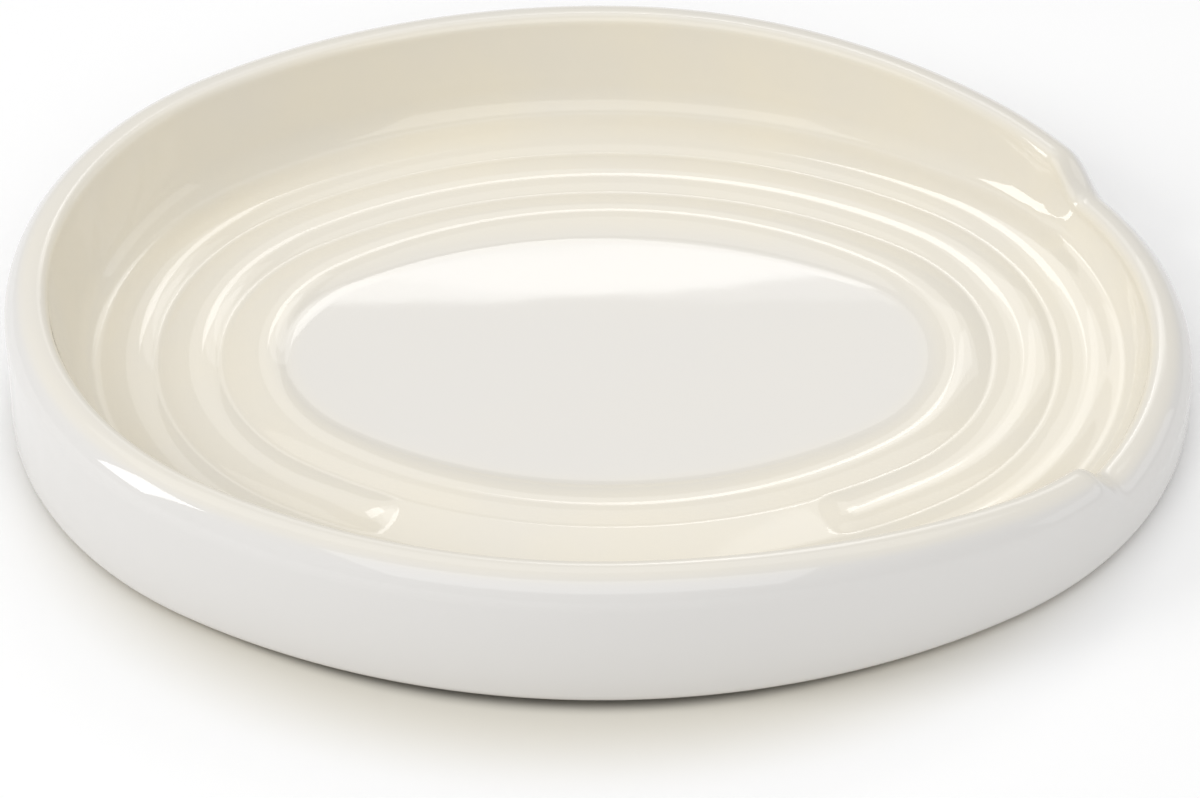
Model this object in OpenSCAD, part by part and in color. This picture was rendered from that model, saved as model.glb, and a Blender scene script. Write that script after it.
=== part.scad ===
// Oval spoon rest in glazed stoneware.
// A shallow dish whose rim sweeps down to a lowered lip, where the handle of a spoon lies.
// Three raised rings run round a flat middle, and the second ring is broken by a bare band.
// X runs along the dish towards the lip, Z is up, and the foot stands on z = 0.

/* [Plan] */
// Length of the oval, far end to lip
dish_l = 155; // [130:1:190]
// Width of the oval
dish_w = 121; // [104:1:140]
// Radius of the two ends, as a share of half the width
end_share = 0.88; // [0.78:0.01:0.94]

/* [Rim] */
// Height of the level part of the rim
rim_h = 21; // [17:0.5:28]
// Radius of the rim's outer round
rim_out_r = 4.4; // [3:0.1:5.5]
// Radius of the rim's inner edge
rim_in_r = 1.4; // [1:0.1:2]
// Place along X where the rim starts to fall towards the lip
fall_start = 4; // [-20:1:30]

/* [Lip] */
// Height of the lowered lip at its middle
lip_h = 12; // [11:0.5:15]
// How far the lip falls from its middle to its shoulders
lip_crown = 0.9; // [0:0.1:1.4]
// Width of the lip, between the middles of its two shoulders
lip_w = 60; // [40:1:76]
// Length over which each shoulder eases down to the lip
shoulder_l = 5; // [3:0.5:10]

/* [Well] */
// Height of the flat middle
floor_h = 7.6; // [6:0.2:8.4]
// Level distance that the inner wall covers between the rim and the outermost ring
wall_run = 4.3; // [3:0.1:6]
// How far the rings sit off the middle of the dish, towards the lip
well_shift = 1.1; // [0:0.1:2]

/* [Rings] */
// Number of raised rings
ring_count = 3; // [2:1:4]
// Width of one ring, crease to crease
ring_w = 8.4; // [6:0.1:9.5]
// Height of a ring over the flat middle
ring_rise = 0.8; // [0.4:0.1:1.6]
// Which ring is broken, counted from the wall inwards
broken_ring = 2; // [1:1:4]
// Length of the bare band in the broken ring
band_l = 55; // [25:1:70]
// Length over which each end of the broken ring rounds off
band_end_l = 4; // [2:0.5:8]

/* [Foot] */
// How far the outer wall leans in from the rim to its lower edge
wall_draft = 0.1; // [0:0.1:2]
// Radius of the wall's lower edge
edge_r = 1.7; // [1:0.1:3]
// Gap between the glazed wall and the surface that the dish stands on
foot_h = 1; // [0.6:0.1:2]
// Distance of the foot ring from the outer wall
foot_inset = 6; // [4:0.5:12]
// Width of the foot ring
foot_w = 4; // [2.5:0.5:8]

/* [Glaze] */
// Thickness of the fired glaze
glaze_t = 0.35; // [0.2:0.05:0.6]
// Bare clay left between the foot ring and the glaze under the dish
wipe_w = 0.5; // [0.2:0.1:2]

/* [Hidden] */

clay = [0.80, 0.72, 0.60];
cream = [0.95, 0.93, 0.88];

// The plan is an oval of four arcs: two ends and two long sides, tangent where they join.
half_l = dish_l / 2;
half_w = dish_w / 2;
end_r = end_share * half_w;
end_x = half_l - end_r;
side_r = (end_x ^ 2 + half_w ^ 2 - end_r ^ 2) / (2 * (half_w - end_r));
side_y = side_r - half_w;
join = atan2(side_y, end_x);

// In side view the rim falls along an arc that leaves the level part smoothly.
fall = rim_h - lip_h;
fall_run = half_l - fall_start;
fall_r = (fall_run ^ 2 + fall ^ 2) / (2 * fall);

// The rim's outer round and its inner edge meet at the crest.
rim_w = rim_out_r + rim_in_r;
// A ring's section is an arc between two creases.
bead_r = ((ring_w / 2) ^ 2 + ring_rise ^ 2) / (2 * ring_rise);
bead_turn = asin(ring_w / 2 / bead_r);
// The inner wall is a curve that leaves the rim steeply and runs out at the outermost ring.
wall_bend_share = 0.5;
wall_lift_share = 0.1;

// Steps along each curve of the section, and round the plan
bead_steps = 4;
wall_steps = 4;
rim_in_steps = 3;
rim_out_steps = 4;
edge_steps = 3;
lip_end_steps = 16;
far_end_steps = 14;
side_steps = 18;
// Extra sections across each shoulder and each rounded ring end
shoulder_shares = [-0.5, -0.25, 0, 0.25, 0.5];
ring_end_shares = [0, 0.1, 0.4, 1];
// Two sections are never closer than this turn
least_turn = 0.4;
// Facets of a full circle, and how far the foot ring's root reaches into the clay
round_fn = 180;
foot_root = glaze_t;

// Plan of the dish: the point that faces outwards at angle a, moved in by d.
function on_end(a) = abs(sin(a)) < sin(join);
function arc_centre(a) = on_end(a) ? [sign(cos(a)) * end_x, 0] : [0, -sign(sin(a)) * side_y];
function arc_radius(a) = on_end(a) ? end_r : side_r;
function plan_point(a, d) = arc_centre(a) + (arc_radius(a) - d) * [cos(a), sin(a)];

// Distance in from the outer wall of crease k, where crease 0 is the foot of the inner wall.
function crease(k) = rim_w + wall_run + k * ring_w;

// Smooth step from 0 to 1, and a quarter round from 0 to 1
function ease(t) = let (c = max(0, min(1, t))) c * c * (3 - 2 * c);
function quarter_round(t) = let (c = max(0, min(1, t))) sqrt(1 - (1 - c) ^ 2);

// Height of the rim: level, then falling, and lowered again between the shoulders.
function swept_h(x) = x < fall_start ? rim_h : rim_h - fall_r + sqrt(fall_r ^ 2 - (x - fall_start) ^ 2);
function lip_part(p) = p.x > 0 ? ease((lip_w / 2 - abs(p.y)) / shoulder_l + 0.5) : 0;
function rim_top(a) =
    let (p = plan_point(a, rim_out_r), w = lip_part(p))
    swept_h(p.x) * (1 - w) + (lip_h - lip_crown * (2 * p.y / lip_w) ^ 2) * w;

// How much of ring k stands at angle a: the broken ring is missing along the band.
function ring_part(a, k) =
    let (p = plan_point(a, crease(k - 0.5)))
    k == broken_ring && p.y < 0 ? quarter_round((abs(p.x) - band_l / 2) / band_end_l) : 1;

// Angles of the sections: even steps on each arc, with more at the shoulders and ring ends.
function steps(from, to, n) = [for (i = [0 : n - 1]) from + (to - from) * i / n];
function sorted(v) =
    len(v) < 2 ? v :
    let (m = v[floor(len(v) / 2)])
    concat(sorted([for (x = v) if (x < m) x]), [m], sorted([for (x = v) if (x > m) x]));
function thinned(v) = [for (i = [0 : len(v) - 1]) if (i == 0 || v[i] - v[i - 1] > least_turn) v[i]];
shoulder_turns = [for (s = shoulder_shares) asin((lip_w / 2 + s * shoulder_l) / (end_r - rim_out_r))];
band_r = side_r - crease(broken_ring - 0.5);
band_turns = [for (s = ring_end_shares) asin((band_l / 2 + s * band_end_l) / band_r)];
sections = thinned(sorted(concat(
    steps(-join, join, lip_end_steps),
    steps(join, 180 - join, side_steps),
    steps(180 - join, 180 + join, far_end_steps),
    steps(180 + join, 360 - join, side_steps),
    [for (t = shoulder_turns, side = [-1, 1]) side * t],
    [for (t = band_turns, side = [-1, 1]) 270 + side * t])));

// Points of a section are [distance in, height, shift along X]; t is how deep they lie under the glaze.
function well_row(a, t) = concat(
    [[crease(ring_count), floor_h - t, well_shift]],
    [for (k = [ring_count : -1 : 1], i = [1 : bead_steps])
        let (turn = bead_turn * (2 * i / bead_steps - 1),
             z = bead_r * cos(turn) - bead_r + ring_rise)
        [crease(k - 0.5) - bead_r * sin(turn), floor_h - t + z * ring_part(a, k), well_shift]]);
function wall_row(a, t) =
    let (foot = [crease(0), floor_h - t, well_shift],
         top = [rim_w - t, rim_top(a) - rim_in_r, 0],
         bend = [crease(0) - wall_run * wall_bend_share - t,
                 foot.y + (top.y - foot.y) * wall_lift_share,
                 well_shift * wall_bend_share])
    [for (i = [1 : wall_steps - 1]) let (s = i / wall_steps)
        (1 - s) ^ 2 * foot + 2 * s * (1 - s) * bend + s ^ 2 * top];
function rim_point(a, t, r, turn) =
    [rim_out_r + (r - t) * sin(turn), rim_top(a) - r + (r - t) * cos(turn), 0];
function rim_row(a, t) = concat(
    [for (i = [0 : rim_in_steps]) rim_point(a, t, rim_in_r, 90 * (1 - i / rim_in_steps))],
    [for (i = [1 : rim_out_steps]) rim_point(a, t, rim_out_r, -90 * i / rim_out_steps)]);
function edge_row(t) = [for (i = [0 : edge_steps]) let (turn = 90 * i / edge_steps)
    [wall_draft + edge_r - (edge_r - t) * cos(turn), foot_h + edge_r - (edge_r - t) * sin(turn), 0]];
function skin_row(a, t) = concat(well_row(a, t), wall_row(a, t), rim_row(a, t), edge_row(t));

// The clay's flat underside, and the edge of the glaze inside the foot ring
under_h = foot_h + glaze_t;
under_d = foot_inset + foot_w + wipe_w;
under_row = [[under_d, under_h, 0], [under_d, under_h - glaze_t, 0]];

function reversed(v) = [for (i = [len(v) - 1 : -1 : 0]) v[i]];
function coat_row(a) = concat(skin_row(a, 0), reversed(skin_row(a, glaze_t)));

// A solid through one row of points for each section, closed by a flat face at both ends of the rows.
// From row point turn_at on, the facets are cut the other way, so that two skins meet facet on facet.
module swept(rows, turn_at) {
    n = len(rows);
    m = len(rows[0]);
    points = [for (i = [0 : n - 1], q = rows[i])
        let (p = plan_point(sections[i], q.x)) [p.x + q.z, p.y, q.y]];
    sides = [for (i = [0 : n - 1], j = [0 : m - 2])
        let (a = i * m + j, b = ((i + 1) % n) * m + j)
        each j < turn_at ? [[a, b, b + 1], [a, b + 1, a + 1]] : [[a, b, a + 1], [b, b + 1, a + 1]]];
    first = [for (i = [n - 1 : -1 : 0]) i * m];
    last = [for (i = [0 : n - 1]) i * m + m - 1];
    polyhedron(points, concat([first, last], sides));
}

// A band of the oval plan, from d inwards over width w and from the ground up to h
module oval_band(d, w, h) {
    for (arc = [[0, join], [90, 90 - join], [180, join], [270, 90 - join]])
        translate(arc_centre(arc[0]))
            rotate(arc[0] - arc[1])
                rotate_extrude(angle = 2 * arc[1], $fn = round_fn)
                    translate([arc_radius(arc[0]) - d - w, 0])
                        square([w, h]);
}

// The fired clay, with its bare foot ring
module stoneware_body() {
    rows = [for (a = sections) skin_row(a, glaze_t)];
    color(clay) {
        swept(rows, len(rows[0]));
        oval_band(foot_inset, foot_w, under_h + foot_root);
    }
}

// The gloss coat over the well, the rim and the outer wall
module glaze_coat() {
    rows = [for (a = sections) coat_row(a)];
    color(cream) swept(rows, len(rows[0]) / 2);
}

// The coat in the hollow inside the foot ring
module underside_glaze() {
    rows = [for (a = sections) under_row];
    color(cream) swept(rows, len(under_row));
}

stoneware_body();
glaze_coat();
underside_glaze();
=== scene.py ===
# %% [markdown]
# # An oval spoon rest in glazed stoneware
# A spoon rest stands by the hob. The bowl of a wet spoon lies in its ringed well, and the handle lies over the
# lowered lip. It is one piece of fired clay under gloss glaze, so this lesson is about a single smooth form: how an
# oval is swept from one section, how a rim is made to fall, and how a glaze gets its depth.
#
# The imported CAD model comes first, as a fixed frame. Its box is kept, because the finished model has to fill the
# same space.

# %% Load the fixed frame
import math

import bmesh
import bpy
from mathutils import Matrix, Quaternion, Vector
from mathutils.geometry import interpolate_bezier


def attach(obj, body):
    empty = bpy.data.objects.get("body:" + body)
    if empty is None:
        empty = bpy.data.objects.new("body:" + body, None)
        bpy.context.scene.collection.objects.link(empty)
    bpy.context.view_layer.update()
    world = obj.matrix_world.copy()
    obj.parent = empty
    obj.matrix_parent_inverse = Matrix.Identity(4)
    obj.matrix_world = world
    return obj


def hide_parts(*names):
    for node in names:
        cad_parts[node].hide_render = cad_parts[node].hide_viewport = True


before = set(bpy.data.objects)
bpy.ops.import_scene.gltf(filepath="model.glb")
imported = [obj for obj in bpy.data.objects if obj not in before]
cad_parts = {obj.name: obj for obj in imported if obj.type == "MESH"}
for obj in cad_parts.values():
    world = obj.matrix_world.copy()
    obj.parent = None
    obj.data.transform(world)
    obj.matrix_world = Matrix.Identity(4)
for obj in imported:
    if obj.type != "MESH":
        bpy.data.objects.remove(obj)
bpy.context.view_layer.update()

# %% [markdown]
# ## Sizes
# These are the sizes of the CAD source, in metres. Only the rings are a little lower, since glaze levels them out. The
# plan of the dish is an oval of four arcs, two ends and two long sides, which meet without a kink. Four arcs are
# easier to sweep than an ellipse, and every ring of the well is then a true parallel of the outer wall.

# %% Sizes of the dish
MM = 0.001
HALF_L, HALF_W = 77.5 * MM, 60.5 * MM
END_R = 0.88 * HALF_W
END_X = HALF_L - END_R
SIDE_R = (END_X ** 2 + HALF_W ** 2 - END_R ** 2) / (2 * (HALF_W - END_R))
SIDE_Y = SIDE_R - HALF_W
JOIN = math.atan2(SIDE_Y, END_X)

RIM_H, RIM_OUT_R, RIM_IN_R, FALL_START = 21 * MM, 4.4 * MM, 1.4 * MM, 4 * MM
RIM_W = RIM_OUT_R + RIM_IN_R
LIP_H, LIP_CROWN, LIP_W, SHOULDER_L = 12 * MM, 0.9 * MM, 60 * MM, 5 * MM
FALL = RIM_H - LIP_H
FALL_R = ((HALF_L - FALL_START) ** 2 + FALL ** 2) / (2 * FALL)

FLOOR_H, WALL_RUN, WELL_SHIFT = 7.6 * MM, 4.3 * MM, 1.1 * MM
RING_COUNT, RING_W, RING_RISE = 3, 8.4 * MM, 0.65 * MM
CREASES = [RIM_W + WALL_RUN + k * RING_W for k in range(RING_COUNT + 1)]
BEAD_R = ((RING_W / 2) ** 2 + RING_RISE ** 2) / (2 * RING_RISE)
BEAD_TURN = math.asin(RING_W / 2 / BEAD_R)
BAND_L, BAND_END_L = 55 * MM, 4 * MM

WALL_DRAFT, EDGE_R = 0.1 * MM, 1.7 * MM
FOOT_H, FOOT_INSET, FOOT_W = 1 * MM, 6 * MM, 4 * MM
GLAZE_T, WIPE_W = 0.35 * MM, 0.5 * MM
UNDER_H = FOOT_H + GLAZE_T
UNDER_D = FOOT_INSET + FOOT_W + WIPE_W
print(f"Arcs: ends {END_R / MM:.1f} mm, sides {SIDE_R / MM:.1f} mm, joined at {math.degrees(JOIN):.1f} degrees")
print("Creases, mm in from the wall:", [round(crease / MM, 1) for crease in CREASES])

# %% [markdown]
# ## Camera
# The dish was seen square on to its long side, from about 40 degrees above the table, through a long lens. A long
# lens keeps the near and the far side of the oval almost the same size. The camera aims a little in front of the
# middle of the dish, which puts the dish where the picture has it without any lens shift.

# %% Camera
PICTURE_W = 1200
FOCAL_PX = 7227
SENSOR_MM = 36
CAMERA_PLACE = Vector((0, -723.0, 619.3)) * MM
CAMERA_AIM = Vector((0, -3.97, 3.31)) * MM

camera_data = bpy.data.cameras.new("table_camera")
camera_data.sensor_fit = "HORIZONTAL"
camera_data.sensor_width = SENSOR_MM
camera_data.lens = SENSOR_MM * FOCAL_PX / PICTURE_W
camera_data.clip_start, camera_data.clip_end = 0.05, 20
camera = bpy.data.objects.new("table_camera", camera_data)
bpy.context.scene.collection.objects.link(camera)
camera.location = CAMERA_PLACE
camera.rotation_mode = "QUATERNION"
camera.rotation_quaternion = (CAMERA_AIM - CAMERA_PLACE).to_track_quat("-Z", "Y")
bpy.context.scene.camera = camera
print(f"Lens {camera_data.lens:.1f} mm, {(CAMERA_AIM - CAMERA_PLACE).length:.3f} m away")

# %% [markdown]
# ## Drawing a section
# A potter's jigger arm shapes a dish with one profile. Here too the whole form starts as one line: the section from
# the flat middle out over the rings, up the wall, over the rim and down to the lower edge. Straight runs are extruded
# points, and every arc is a point spun round its centre, so the arcs are exact. The section stands on the X axis,
# measured inwards from the outer wall.


# %% Points and arcs of the section
def section_point(inset, height):
    return Vector((END_R - inset, 0, height))


def run_on(bm, point, inset, height):
    """Extrudes the section's last point to a new place."""
    new = bmesh.ops.extrude_vert_indiv(bm, verts=[point])["verts"][0]
    new.co = section_point(inset, height)
    return new


def turn_on(bm, point, inset, height, turn, steps):
    """Spins the section's last point round a centre."""
    made = bmesh.ops.spin(bm, geom=[point], cent=section_point(inset, height), axis=(0, 1, 0), dvec=(0, 0, 0),
                          angle=turn, steps=steps, use_merge=False, use_duplicate=False)
    return next(v for v in made["geom_last"] if isinstance(v, bmesh.types.BMVert))


# %% The whole section
WALL_BEND_SHARE, WALL_LIFT_SHARE = 0.5, 0.1
FLAT_MARGIN = 2 * MM
# A curve with one bend has its two Bezier handles this far along towards that bend.
HANDLE_SHARE = 2 / 3
print(f"Section: {RING_COUNT} rings, each {RING_W / MM:.1f} mm wide and {RING_RISE / MM:.2f} mm high")


def draw_skin(bm, depth, bead_steps, wall_steps, rim_in_steps, rim_out_steps, drop_steps, edge_steps):
    """The section from the flat middle to the lower edge, at a depth under the face of the glaze."""
    floor = FLOOR_H - depth
    point = bmesh.ops.create_vert(bm, co=section_point(CREASES[-1] + FLAT_MARGIN, floor))["vert"][0]
    point = run_on(bm, point, CREASES[-1], floor)
    for crease in reversed(CREASES[:-1]):
        point = turn_on(bm, point, crease + RING_W / 2, floor + RING_RISE - BEAD_R, 2 * BEAD_TURN, bead_steps)
    foot = Vector((CREASES[0], floor))
    top = Vector((RIM_W - depth, RIM_H - RIM_IN_R))
    bend = Vector((CREASES[0] - WALL_RUN * WALL_BEND_SHARE - depth, floor + (top.y - floor) * WALL_LIFT_SHARE))
    handles = foot.lerp(bend, HANDLE_SHARE), top.lerp(bend, HANDLE_SHARE)
    for inset, height in interpolate_bezier(foot, *handles, top, wall_steps + 1)[1:]:
        point = run_on(bm, point, inset, height)
    point = turn_on(bm, point, RIM_OUT_R, RIM_H - RIM_IN_R, math.pi / 2, rim_in_steps)
    point = turn_on(bm, point, RIM_OUT_R, RIM_H - RIM_OUT_R, math.pi / 2, rim_out_steps)
    high = Vector((depth, RIM_H - RIM_OUT_R))
    low = Vector((WALL_DRAFT + depth, FOOT_H + EDGE_R))
    for step in range(1, drop_steps + 1):
        point = run_on(bm, point, *high.lerp(low, step / drop_steps))
    return turn_on(bm, point, WALL_DRAFT + EDGE_R, FOOT_H + EDGE_R, math.pi / 2, edge_steps)


# %% [markdown]
# ## Sweeping the oval
# The section could be lofted through many copies, but the plan has only four arcs, so four spins do it: each one
# turns the last section about the centre of the next arc. Where two arcs meet, both centres lie in the plane of the
# section, so the seam can't be seen. The lip and the band want finer steps than the rest.


# %% Sweep round the four arcs
MERGE_GAP = 0.001 * MM
print(f"Outline: {(4 * JOIN * END_R + 2 * (math.pi - 2 * JOIN) * SIDE_R) / MM:.0f} mm round")


def sweep(bm, lip_steps, back_steps, far_steps, front_steps):
    """Turns the section round the four arcs of the plan."""
    bmesh.ops.rotate(bm, verts=bm.verts, cent=(0, 0, 0), matrix=Matrix.Rotation(-JOIN, 3, "Z"))
    bmesh.ops.translate(bm, verts=bm.verts, vec=(END_X, 0, 0))
    last = bm.verts[:] + bm.edges[:]
    for centre, turn, steps in (((END_X, 0, 0), 2 * JOIN, lip_steps),
                                ((0, -SIDE_Y, 0), math.pi - 2 * JOIN, back_steps),
                                ((-END_X, 0, 0), 2 * JOIN, far_steps),
                                ((0, SIDE_Y, 0), math.pi - 2 * JOIN, front_steps)):
        last = bmesh.ops.spin(bm, geom=last, cent=centre, axis=(0, 0, 1), dvec=(0, 0, 0), angle=turn, steps=steps,
                              use_merge=False, use_duplicate=False)["geom_last"]
    bmesh.ops.remove_doubles(bm, verts=bm.verts, dist=MERGE_GAP)


def plan_place(co):
    """The way the dish faces at a point of the plan, and how far in from the outer wall the point lies."""
    arm, radius = Vector((abs(co.x) - END_X, co.y)), END_R
    if abs(math.atan2(arm.y, arm.x)) > JOIN:
        arm, radius = Vector((co.x, co.y + math.copysign(SIDE_Y, co.y))), SIDE_R
    elif co.x < 0:
        arm.x = -arm.x
    return arm.normalized(), radius - arm.length


# %% Close the flat middle
NEAR = 0.02 * MM


def open_loops(bm, height):
    """The open edges at a height."""
    return [e for e in bm.edges if e.is_boundary and all(abs(v.co.z - height) < NEAR for v in e.verts)]


def fill_flat(bm, height, rings):
    """Closes the middle with rings of faces that shrink towards its centre."""
    flat = bmesh.ops.edgeloop_fill(bm, edges=open_loops(bm, height))["faces"][0]
    for ring in range(rings - 1, 0, -1):
        flat = bmesh.ops.extrude_discrete_faces(bm, faces=[flat])["faces"][0]
        shrink = ring / (ring + 1)
        bmesh.ops.scale(bm, vec=(shrink, shrink, 1), verts=flat.verts)


# %% [markdown]
# ## The rim, the lip and the well
# On the real dish the rim is level at the far end, sinks in one long curve towards the lip, and drops once more
# between two soft shoulders. A lattice could bend the swept form, but the curve has to be exact, so each point is
# moved by how much it belongs to the rim: the rounded rim moves whole, the walls under it stretch, and the floor of
# the well stays put. The same pass hollows the flat middle by a hair, as clay sags in the kiln, and opens the second
# ring at the front: its two ends round off like the end of a finger, and the band between them is left bare and tips
# a little towards the middle.


# %% The height of the rim
def clamp(t):
    return min(1.0, max(0.0, t))


def ease(t):
    t = clamp(t)
    return t * t * (3 - 2 * t)


def rim_top(place):
    """Height of the rim at a point of its crest."""
    swept = RIM_H - FALL_R + math.sqrt(FALL_R ** 2 - max(0.0, place.x - FALL_START) ** 2)
    lip = ease((LIP_W / 2 - abs(place.y)) / SHOULDER_L + 0.5) if place.x > 0 else 0
    return swept + (LIP_H - LIP_CROWN * (2 * place.y / LIP_W) ** 2 - swept) * lip


def rim_share(inset, height):
    """How much a point moves with the rim: 1 on the rim itself, 0 on the floor and at the lower edge."""
    if inset > RIM_W:
        s = clamp((CREASES[0] - inset) / WALL_RUN)
        return 2 * s * (1 - s) * WALL_LIFT_SHARE + s * s
    return clamp((height - FOOT_H - EDGE_R) / (RIM_H - RIM_OUT_R - FOOT_H - EDGE_R))


print("Rim, mm high at the far end, the middle and the lip:",
      [round(rim_top(Vector((x, 0))) / MM, 1) for x in (-HALF_L, 0, HALF_L - RIM_OUT_R)])


# %% The broken ring and its bare band
def bead_height(offset):
    """Height of a ring over the floor, at an offset from its crest."""
    return math.sqrt(max(0.0, BEAD_R ** 2 - offset ** 2)) - BEAD_R + RING_RISE


BAND_INNER, BAND_OUTER = CREASES[2], CREASES[1]
BAND_MIDDLE = (BAND_INNER + BAND_OUTER) / 2
BAND_HALF = RING_W / 2
END_SQUARE = 3
END_SINK, END_SINK_L = 0.4, 14 * MM
CORNER_SOFT = 0.1 * MM


def band_drop(place, facing, inset):
    """How far the second ring sinks at a point, to leave the bare band and its rounded ends."""
    crest = place + facing * (inset - BAND_MIDDLE)
    past = abs(crest.x) - BAND_L / 2
    if crest.y > 0 or past > END_SINK_L or not BAND_OUTER < inset < BAND_INNER:
        return 0.0
    across = abs(inset - BAND_MIDDLE) / BAND_HALF
    along = max(0.0, 1 - past / BAND_END_L)
    left = bead_height(BAND_HALF * min(2, (across ** END_SQUARE + along ** END_SQUARE) ** (1 / END_SQUARE)))
    left = (left + math.hypot(left, CORNER_SOFT)) / 2
    if crest.x < 0:
        left *= 1 - END_SINK * ease(1 - past / END_SINK_L)
    return max(0.0, bead_height(BAND_HALF * across) - left)


BAND_TIP, TIP_FADE = 0.2 * MM, 8 * MM


def band_tip(place, facing, inset):
    """How far the outer side of the bare band is lifted, which tips it towards the middle."""
    crest = place + facing * (inset - BAND_MIDDLE)
    if crest.y > 0:
        return 0.0
    along = ease(1 - (abs(crest.x) - BAND_L / 2) / TIP_FADE)
    return BAND_TIP * along * clamp(1 - abs(inset - BAND_OUTER) / RING_W)


# %% Move every point to its final place
SAG, SAG_LONG_R, SAG_CROSS_R = 1.1 * MM, 600 * MM, 450 * MM
print(f"Band: {BAND_L / MM:.0f} mm long, bare; flat middle hollowed by {SAG / MM:.1f} mm")


def settle(bm):
    """Moves every point of the swept form above its underside to its final place."""
    for v in bm.verts:
        if v.co.z < UNDER_H + NEAR:
            continue
        place = Vector((v.co.x, v.co.y))
        facing, inset = plan_place(v.co)
        share = rim_share(inset, v.co.z)
        v.co.z += share * (rim_top(place + facing * (inset - RIM_OUT_R)) - RIM_H)
        if inset > RIM_W - GLAZE_T:
            v.co.z += band_tip(place, facing, inset) - band_drop(place, facing, inset)
            hollow = SAG - place.x ** 2 / (2 * SAG_LONG_R) - place.y ** 2 / (2 * SAG_CROSS_R)
            v.co.z -= hollow * ease((inset - CREASES[2]) / RING_W)
            v.co.x += WELL_SHIFT * clamp((inset - RIM_W) / WALL_RUN)


# %% [markdown]
# ## The gloss coat
# All that the eye meets from above is glaze: a glassy skin a third of a millimetre thick. Its section is drawn fine,
# swept and closed over the flat middle. Glaze runs together in sharp corners, so the creases between the rings are
# bevelled into small hollows, which draw thin bright lines round the rings, and the foot of the wall is smoothed
# into a wider one. One value is kept on every point for the material: how deep the glaze looks there. This is partly
# the glaze's own depth and partly painted bounce light, the cream that light picks up going from wall to wall in the
# well. It is deep on the inner wall, less so over the rings and the rim's crest, and thin on the flat middle and the
# outer wall.


# %% Sweep the coat and close its middle
def crease_loops(bm):
    """The edges that run round the dish along a crease between the rings."""
    on_crease = {v for v in bm.verts if any(abs(plan_place(v.co)[1] - crease) < NEAR for crease in CREASES[1:])}
    return [e for e in bm.edges if on_crease.issuperset(e.verts)]


FLAT_RINGS = 10

bm = bmesh.new()
draw_skin(bm, 0, bead_steps=12, wall_steps=10, rim_in_steps=6, rim_out_steps=9, drop_steps=5, edge_steps=6)
sweep(bm, lip_steps=120, back_steps=52, far_steps=52, front_steps=170)
creases = crease_loops(bm)
fill_flat(bm, FLOOR_H, FLAT_RINGS)
bmesh.ops.recalc_face_normals(bm, faces=bm.faces)
highest = max(bm.faces, key=lambda f: f.calc_center_median().z)
if highest.normal.z < 0:
    bmesh.ops.reverse_faces(bm, faces=bm.faces)

print(f"Coat: {len(bm.verts)} points, {len(creases)} of its edges lie along the creases")

# %% Keep the depth of the glaze and the painted bounce light on every point
RIM_DEPTH_AND_BOUNCE, WALL_DEPTH_AND_BOUNCE, RING_DEPTH_AND_BOUNCE, FLAT_DEPTH_AND_BOUNCE = 0.55, 0.95, 0.7, 0.2
WHITE_EDGE, WHITE_FADE, DEPTH_AND_BOUNCE_FADE = 1.2 * MM, 1.5 * MM, 6 * MM

# This value is partly the glaze's depth and partly painted bounce light: the walls of the well are painted creamier
# than the open flat middle and the outer wall.
depth_and_bounce_layer = bm.verts.layers.float.new("depth")
for v in bm.verts:
    inset = plan_place(v.co)[1]
    if inset < RIM_W:
        over_crest = ease((inset - WHITE_EDGE) / WHITE_FADE) if v.co.z > RIM_H - RIM_OUT_R else 0
        depth = RIM_DEPTH_AND_BOUNCE * over_crest + (WALL_DEPTH_AND_BOUNCE - RIM_DEPTH_AND_BOUNCE) * ease((inset - RIM_OUT_R) / RIM_IN_R)
    else:
        over_rings = clamp((inset - CREASES[0]) / (CREASES[3] - CREASES[0]))
        depth = WALL_DEPTH_AND_BOUNCE + (RING_DEPTH_AND_BOUNCE - WALL_DEPTH_AND_BOUNCE) * over_rings
        depth += (FLAT_DEPTH_AND_BOUNCE - depth) * ease((inset - CREASES[3]) / DEPTH_AND_BOUNCE_FADE + 0.5)
    v[depth_and_bounce_layer] = depth
depth_and_bounce_values = [v[depth_and_bounce_layer] for v in bm.verts]
print(f"Depth of the glaze: {min(depth_and_bounce_values):.2f} to {max(depth_and_bounce_values):.2f}")

# %% Settle, soften and thicken the coat
FOOT_REACH, FOOT_ROUNDS = (-1.6 * MM, 2.4 * MM), 14
CREASE_SOFT, CREASE_SEGMENTS = 0.6 * MM, 4

foot_verts = [v for v in bm.verts if FOOT_REACH[0] < plan_place(v.co)[1] - CREASES[0] < FOOT_REACH[1]]
settle(bm)
for _ in range(FOOT_ROUNDS):
    bmesh.ops.smooth_vert(bm, verts=foot_verts, factor=0.5, use_axis_z=True)
bmesh.ops.bevel(bm, geom=creases, offset=CREASE_SOFT, offset_type="OFFSET", segments=CREASE_SEGMENTS, profile=0.5,
                affect="EDGES", clamp_overlap=True, material=-1)
print(f"Coat: {len(bm.faces)} faces before it gets its thickness")
bmesh.ops.solidify(bm, geom=bm.faces[:], thickness=GLAZE_T)


# %% Make the coat an object
def piece_from(bm, name, smooth_angle):
    """Turns a bmesh into a smooth-shaded object at the origin."""
    mesh = bpy.data.meshes.new(name)
    bm.to_mesh(mesh)
    bm.free()
    mesh.shade_smooth()
    mesh.set_sharp_from_angle(angle=smooth_angle)
    piece = bpy.data.objects.new(name, mesh)
    bpy.context.scene.collection.objects.link(piece)
    triangles = sum(len(p.vertices) - 2 for p in mesh.polygons)
    heights = [v.co.z / MM for v in mesh.vertices]
    print(f"{name}: {triangles} triangles, {min(heights):.2f} to {max(heights):.2f} mm high")
    return piece


SMOOTH_ANGLE = math.radians(50)
gloss_coat = piece_from(bm, "gloss_coat", SMOOTH_ANGLE)
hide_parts("glaze_coat")
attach(gloss_coat, "root")

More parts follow.
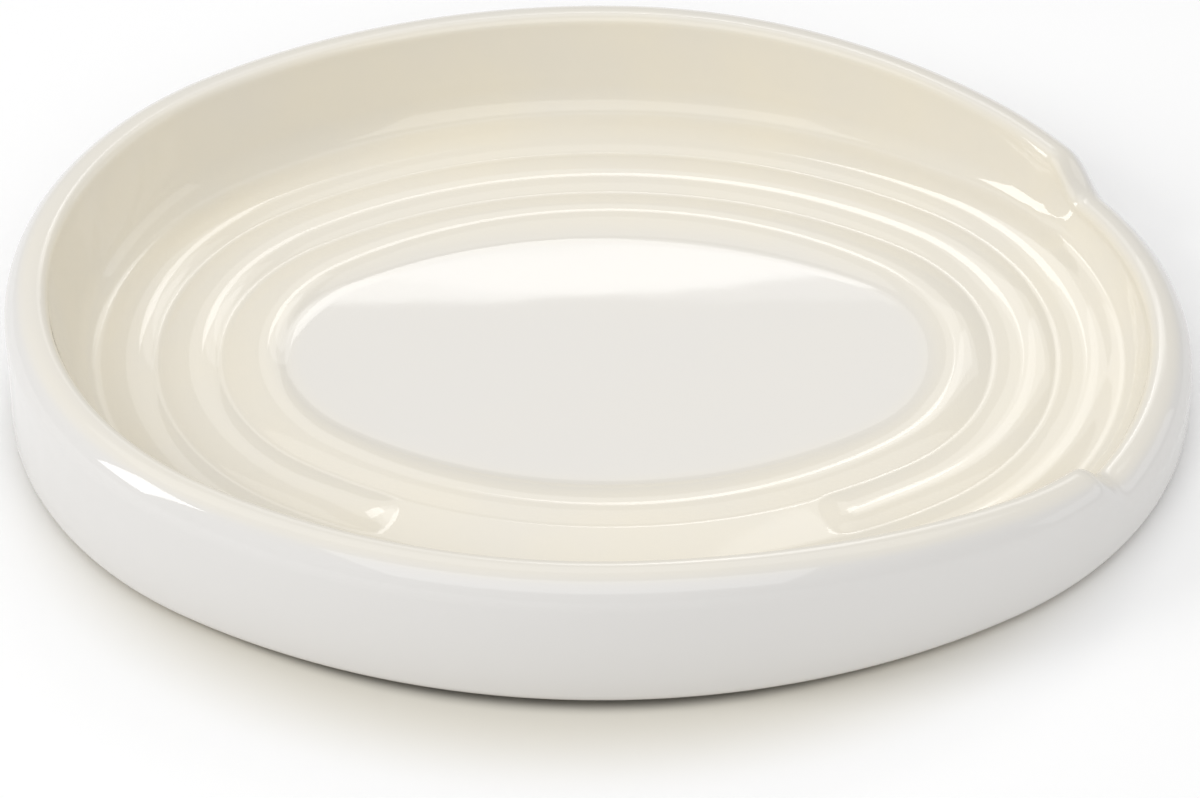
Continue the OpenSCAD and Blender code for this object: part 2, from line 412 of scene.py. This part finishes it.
# %% [markdown]
# ## The clay dish
# Under the coat is the fired clay. It shows only below, as the bare foot ring that keeps the glaze off the kiln shelf,
# and as a narrow bare band on each side of it. The same section is drawn a glaze's thickness deeper, goes on round the
# foot, whose corners are rubbed round before firing, and is closed above and below.

# %% Build the clay dish
FOOT_SOFT, ROUND_STEPS = 0.5 * MM, 4

bm = bmesh.new()
point = draw_skin(bm, GLAZE_T, bead_steps=6, wall_steps=6, rim_in_steps=4, rim_out_steps=6, drop_steps=2,
                  edge_steps=4)
point = run_on(bm, point, FOOT_INSET, UNDER_H)
point = run_on(bm, point, FOOT_INSET, FOOT_SOFT)
point = turn_on(bm, point, FOOT_INSET + FOOT_SOFT, FOOT_SOFT, math.pi / 2, ROUND_STEPS)
point = run_on(bm, point, FOOT_INSET + FOOT_W - FOOT_SOFT, 0)
point = turn_on(bm, point, FOOT_INSET + FOOT_W - FOOT_SOFT, FOOT_SOFT, math.pi / 2, ROUND_STEPS)
point = run_on(bm, point, FOOT_INSET + FOOT_W, UNDER_H)
run_on(bm, point, UNDER_D + FLAT_MARGIN, UNDER_H)
sweep(bm, lip_steps=80, back_steps=40, far_steps=40, front_steps=90)
fill_flat(bm, FLOOR_H - GLAZE_T, FLAT_RINGS)
fill_flat(bm, UNDER_H, 1)
bmesh.ops.recalc_face_normals(bm, faces=bm.faces)
settle(bm)
clay_dish = piece_from(bm, "clay_dish", SMOOTH_ANGLE)
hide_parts("stoneware_body")
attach(clay_dish, "root")

# %% [markdown]
# ## The glaze under the dish
# The hollow inside the foot ring is glazed too, up to a wiped line just inside the ring. It is a thin oval sheet with
# a rounded edge, swept with the same four spins.

# %% Build the glaze under the dish
SHEET_ROUND = 0.25 * MM

bm = bmesh.new()
point = bmesh.ops.create_vert(bm, co=section_point(UNDER_D + FLAT_MARGIN, FOOT_H))["vert"][0]
point = run_on(bm, point, UNDER_D + SHEET_ROUND, FOOT_H)
point = turn_on(bm, point, UNDER_D + SHEET_ROUND, FOOT_H + SHEET_ROUND, -math.pi / 2, ROUND_STEPS)
point = run_on(bm, point, UNDER_D, UNDER_H)
run_on(bm, point, UNDER_D + FLAT_MARGIN, UNDER_H)
sweep(bm, lip_steps=48, back_steps=32, far_steps=48, front_steps=32)
for height in (FOOT_H, UNDER_H):
    fill_flat(bm, height, 1)
bmesh.ops.recalc_face_normals(bm, faces=bm.faces)
base_glaze = piece_from(bm, "base_glaze", SMOOTH_ANGLE)
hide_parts("underside_glaze")
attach(base_glaze, "root")

# %% [markdown]
# ## A node group for fired glaze
# Both glazed pieces share one effect, so it is a node group with named inputs. Glaze is never one flat colour: it is
# paler where it runs thin over an edge and warmer where it lies deep, it carries a faint cloudiness, and its surface
# rolls gently, which is what bends the reflection of a lamp. The group puts out a colour, a roughness and a height.


# %% Node helpers
def link(tree, *ends):
    """Joins node sockets in pairs: from, to, from, to."""
    for start, end in zip(ends[::2], ends[1::2]):
        tree.links.new(start, end)


def new_group(name, inputs, outputs):
    tree = bpy.data.node_groups.new(name, "ShaderNodeTree")
    for socket, kind, value in inputs:
        made = tree.interface.new_socket(socket, in_out="INPUT", socket_type=kind)
        made.default_value = value
    for socket, kind in outputs:
        tree.interface.new_socket(socket, in_out="OUTPUT", socket_type=kind)
    return tree, tree.nodes.new("NodeGroupInput"), tree.nodes.new("NodeGroupOutput")


def noise(tree, coords, scale, detail):
    node = tree.nodes.new("ShaderNodeTexNoise")
    node.inputs["Scale"].default_value = scale
    node.inputs["Detail"].default_value = detail
    tree.links.new(coords, node.inputs["Vector"])
    return node.outputs["Fac"]


def mix_colours(tree, factor, first, second):
    node = tree.nodes.new("ShaderNodeMix")
    node.data_type = "RGBA"
    link(tree, factor, node.inputs["Factor"], first, node.inputs["A"])
    if isinstance(second, tuple):
        node.inputs["B"].default_value = second
    else:
        tree.links.new(second, node.inputs["B"])
    return node.outputs["Result"]


def map_range(tree, value, low, high, to_low, to_high):
    node = tree.nodes.new("ShaderNodeMapRange")
    for socket, number in zip(("From Min", "From Max", "To Min", "To Max"), (low, high, to_low, to_high)):
        node.inputs[socket].default_value = number
    tree.links.new(value, node.inputs["Value"])
    return node.outputs["Result"]


def math_node(tree, operation, *values):
    node = tree.nodes.new("ShaderNodeMath")
    node.operation = operation
    for socket, value in zip(node.inputs, values):
        if isinstance(value, (int, float)):
            socket.default_value = value
        else:
            tree.links.new(value, socket)
    return node.outputs["Value"]


# %% The fired glaze group
WHITE = (1, 1, 1, 1)
NOISE_RANGE, CLOUD_SHARES = (0.3, 0.7), (0.8, 1.1)
FINE_SHARE = 0.01

fired_glaze, given, result = new_group(
    "fired_glaze",
    [("Thin Colour", "NodeSocketColor", WHITE), ("Deep Colour", "NodeSocketColor", WHITE),
     ("Depth", "NodeSocketFloat", 0), ("Smoothest", "NodeSocketFloat", 0.08), ("Dullest", "NodeSocketFloat", 0.14)],
    [("Colour", "NodeSocketColor"), ("Roughness", "NodeSocketFloat"), ("Height", "NodeSocketFloat")])
coords = fired_glaze.nodes.new("ShaderNodeTexCoord").outputs["Object"]
cloud = noise(fired_glaze, coords, scale=55, detail=3)
roll = noise(fired_glaze, coords, scale=38, detail=1.5)
fine = noise(fired_glaze, coords, scale=900, detail=2)
cloud_share = map_range(fired_glaze, cloud, *NOISE_RANGE, *CLOUD_SHARES)
# On the dish the Depth input also carries painted bounce light, so the deep colour is partly painted light.
depth_share = math_node(fired_glaze, "MULTIPLY", given.outputs["Depth"], cloud_share)
link(fired_glaze, mix_colours(fired_glaze, depth_share, given.outputs["Thin Colour"], given.outputs["Deep Colour"]),
     result.inputs["Colour"])
roughness = fired_glaze.nodes.new("ShaderNodeMix")
link(fired_glaze, fine, roughness.inputs["Factor"], given.outputs["Smoothest"], roughness.inputs["A"],
     given.outputs["Dullest"], roughness.inputs["B"], roughness.outputs["Result"], result.inputs["Roughness"])
link(fired_glaze, math_node(fired_glaze, "ADD", roll, math_node(fired_glaze, "MULTIPLY", fine, FINE_SHARE)),
     result.inputs["Height"])
print("Group:", fired_glaze.name, [socket.name for socket in fired_glaze.interface.items_tree])

# %% [markdown]
# ## The gloss glaze
# The glaze is an off-white gloss. Outside it looks almost neutral, and inside, where light goes from wall to wall
# before it comes out, it looks like cream. The colours and the gloss stay on the shader, and the group only says where
# they change.


# %% A maker of glazed materials
GLAZE_IOR = 1.5


def glazed(name, colours, smoothest, dullest, roll_height):
    """A glaze on the shared group, which reads the depth and the painted bounce light kept on the piece's points."""
    material = bpy.data.materials.new(name)
    material.use_nodes = True
    tree = material.node_tree
    shader = tree.nodes["Principled BSDF"]
    group = tree.nodes.new("ShaderNodeGroup")
    group.node_tree = fired_glaze
    for socket, tone in zip(("Thin Colour", "Deep Colour"), colours):
        group.inputs[socket].default_value = tone
    group.inputs["Smoothest"].default_value = smoothest
    group.inputs["Dullest"].default_value = dullest
    depth = tree.nodes.new("ShaderNodeAttribute")
    depth.attribute_name = "depth"
    tree.links.new(depth.outputs["Fac"], group.inputs["Depth"])
    bump = tree.nodes.new("ShaderNodeBump")
    bump.inputs["Distance"].default_value = roll_height
    link(tree, group.outputs["Height"], bump.inputs["Height"], bump.outputs["Normal"], shader.inputs["Normal"],
         group.outputs["Colour"], shader.inputs["Base Color"], group.outputs["Roughness"], shader.inputs["Roughness"])
    shader.inputs["IOR"].default_value = GLAZE_IOR
    return material


# %% The two glazes
def colour(red, green, blue):
    """A linear colour from screen values of 0 to 255."""
    return (*((c / 255) ** 2.2 for c in (red, green, blue)), 1)


THIN_WHITE = colour(221, 219, 216)
# The deep cream is partly the glaze's own colour where it lies deep and partly painted light bounced between the walls
# of the well.
DEEP_AND_BOUNCE_CREAM = colour(234, 227, 210)
gloss_coat.data.materials.append(glazed("gloss_glaze", (THIN_WHITE, DEEP_AND_BOUNCE_CREAM), smoothest=0.02, dullest=0.045,
                                        roll_height=0.035 * MM))
base_glaze.data.materials.append(glazed("base_gloss", (THIN_WHITE, DEEP_AND_BOUNCE_CREAM), smoothest=0.2, dullest=0.3,
                                        roll_height=0.05 * MM))
print("Glazed:", [piece.name for piece in (gloss_coat, base_glaze)])

# %% [markdown]
# ## The bare clay
# Fired stoneware is a fine, dry, sandy buff with darker specks of iron and the odd open pore. Two noises at different
# scales give the sand and the slow change of the firing, and a Voronoi texture scatters the specks.

# %% Material for the clay
CLAY_TONES = ((0.35, colour(205, 187, 158)), (0.7, colour(224, 209, 184)))
IRON, SPECK_EDGES, SPECK_STRENGTH = colour(128, 103, 78), (0.1, 0.22), 0.7
CLAY_ROUGHNESS, SAND_HEIGHT = (0.75, 0.95), 0.08 * MM

clay = bpy.data.materials.new("bare_stoneware")
clay.use_nodes = True
tree = clay.node_tree
shader = tree.nodes["Principled BSDF"]
coords = tree.nodes.new("ShaderNodeTexCoord").outputs["Object"]
sand = noise(tree, coords, scale=1800, detail=3)
firing = noise(tree, coords, scale=45, detail=3)
ramp = tree.nodes.new("ShaderNodeValToRGB")
for stop, (place, tone) in zip(ramp.color_ramp.elements, CLAY_TONES):
    stop.position, stop.color = place, tone
tree.links.new(firing, ramp.inputs["Fac"])
specks = tree.nodes.new("ShaderNodeTexVoronoi")
specks.inputs["Scale"].default_value = 900
tree.links.new(coords, specks.inputs["Vector"])
speck_share = map_range(tree, specks.outputs["Distance"], *SPECK_EDGES, SPECK_STRENGTH, 0)
link(tree, mix_colours(tree, speck_share, ramp.outputs["Color"], IRON), shader.inputs["Base Color"])
link(tree, map_range(tree, sand, *NOISE_RANGE, *CLAY_ROUGHNESS), shader.inputs["Roughness"])
bump = tree.nodes.new("ShaderNodeBump")
bump.inputs["Distance"].default_value = SAND_HEIGHT
link(tree, sand, bump.inputs["Height"], bump.outputs["Normal"], shader.inputs["Normal"])
clay_dish.data.materials.append(clay)
print("Clay:", clay.name)

# %% [markdown]
# ## The table
# The dish stands on plain white paper. Little light gets under its edge, and what comes out in front of it has met
# the cream glaze first, so the paper is darkest in the gap under the wall and has a soft warm shade before the dish.
# The lamps alone make both too weak, so the paper's own colour helps. Two ramps run outwards from an oval, one tight
# under the wall and one wide, and their colours are multiplied.


# %% A shade that fades away from an oval
RAMP_SPAN = 1.3


def shade_round(tree, place, half_size, stops):
    """A colour that changes with the distance from a place, counted in ovals of a size."""
    oval = tree.nodes.new("ShaderNodeMapping")
    oval.vector_type = "TEXTURE"
    oval.inputs["Location"].default_value = (*place, 0)
    oval.inputs["Scale"].default_value = (*(RAMP_SPAN * half for half in half_size), 1)
    away = tree.nodes.new("ShaderNodeVectorMath")
    away.operation = "LENGTH"
    ramp = tree.nodes.new("ShaderNodeValToRGB")
    ramp.color_ramp.interpolation = "EASE"
    for stop, (ovals, shade) in zip(ramp.color_ramp.elements, stops):
        stop.position, stop.color = ovals / RAMP_SPAN, shade
    link(tree, tree.nodes.new("ShaderNodeTexCoord").outputs["Object"], oval.inputs["Vector"],
         oval.outputs["Vector"], away.inputs[0], away.outputs["Value"], ramp.inputs["Fac"])
    return ramp.outputs["Color"]


# %% Floor
FLOOR_HALF, PAPER_ROUGHNESS, PAPER_SHINE = 4, 0.7, 0.2
PAPER, WARM_SHADE, GAP_SHADE = (0.96, 0.96, 0.96, 1), (0.78, 0.752, 0.68, 1), (0.42, 0.42, 0.42, 1)
GAP_PLACE, GAP_HALF = (-1 * MM, 0), (72 * MM, HALF_W)
WIDE_PLACE, WIDE_HALF = (-3 * MM, -10.5 * MM), (61.3 * MM, 52.6 * MM)

floor_mesh = bpy.data.meshes.new("floor")
bm = bmesh.new()
bmesh.ops.create_grid(bm, x_segments=1, y_segments=1, size=FLOOR_HALF)
bm.to_mesh(floor_mesh)
bm.free()
floor = bpy.data.objects.new("floor", floor_mesh)
bpy.context.scene.collection.objects.link(floor)
paper = bpy.data.materials.new("table_white")
paper.use_nodes = True
tree = paper.node_tree
shader = tree.nodes["Principled BSDF"]
gap = shade_round(tree, GAP_PLACE, GAP_HALF, ((0.965, GAP_SHADE), (1.012, WHITE)))
wide = shade_round(tree, WIDE_PLACE, WIDE_HALF, ((0.976, WARM_SHADE), (1.284, PAPER)))
both = tree.nodes.new("ShaderNodeMix")
both.data_type, both.blend_type = "RGBA", "MULTIPLY"
both.inputs["Factor"].default_value = 1
link(tree, wide, both.inputs["A"], gap, both.inputs["B"], both.outputs["Result"], shader.inputs["Base Color"])
shader.inputs["Roughness"].default_value = PAPER_ROUGHNESS
shader.inputs["Specular IOR Level"].default_value = PAPER_SHINE
floor_mesh.materials.append(paper)
print("Floor:", paper.name)

# %% [markdown]
# ## The light
# The studio is white all round. A gloss surface shows its lamps, so each softbox is placed by the directions in which
# the dish mirrors it. A dim backdrop whitens every part of the well that faces straight up, and so draws the rings.
# Rolled softboxes in front of it make the white patch on the flat middle and the bands at the lip. One above, one in
# front and one on each side light the walls. Each is an area light, because its size makes both the soft shadow and
# the shape of the reflection.

# %% A softbox
LIGHT_AIM = Vector((0, 0, 8)) * MM


def softbox(name, bearings, elevations, distance, radiance, roll=0):
    """An area light that fills a range of bearings, from straight behind to the right, and of elevations."""
    bearing, elevation = (math.radians(sum(ends) / 2) for ends in (bearings, elevations))
    half_turn, half_rise = (math.radians((ends[1] - ends[0]) / 2) for ends in (bearings, elevations))
    data = bpy.data.lights.new(name, "AREA")
    data.shape = "RECTANGLE"
    data.size = 2 * distance * math.tan(half_turn) * math.cos(elevation)
    data.size_y = 2 * distance * math.tan(half_rise)
    data.energy = radiance * math.pi * data.size * data.size_y
    lamp = bpy.data.objects.new(name, data)
    level = distance * math.cos(elevation)
    lamp.location = LIGHT_AIM + Vector((
        level * math.sin(bearing), level * math.cos(bearing), distance * math.sin(elevation)))
    lamp.rotation_mode = "QUATERNION"
    turned = Quaternion((0, 0, 1), math.radians(roll))
    lamp.rotation_quaternion = (LIGHT_AIM - lamp.location).to_track_quat("-Z", "Y") @ turned
    bpy.context.scene.collection.objects.link(lamp)
    return lamp


# %% Studio light
WORLD_STRENGTH = 0.56

lamps = [
    softbox("behind_right", (5.6, 28.4), (37.5, 44.5), 0.65, 1, roll=45),
    softbox("behind_right_wide", (2, 32), (34, 48), 0.7, 0.8, roll=45),
    softbox("backdrop", (-4, 12), (34.5, 46), 1.3, 0.9),
    softbox("backdrop_wide", (-8, 16), (31.5, 49), 1.3, 0.8),
    softbox("behind", (-1.9, 7.9), (41.7, 46.2), 1.3, 2.6, roll=42),
    softbox("above", (-60, 60), (58, 82), 1.3, 0.7),
    softbox("right", (60, 105), (8, 25), 1.3, 0.8),
    softbox("left", (-110, -92), (17, 46), 1.3, 6),
    softbox("front", (140, 220), (30, 70), 1.6, 1.3),
]
world = bpy.data.worlds.new("studio")
world.use_nodes = True
world.node_tree.nodes["Background"].inputs["Color"].default_value = WHITE
world.node_tree.nodes["Background"].inputs["Strength"].default_value = WORLD_STRENGTH
bpy.context.scene.world = world
bpy.context.scene.view_settings.view_transform = "Standard"
print("Lamps:", [lamp.name for lamp in lamps])
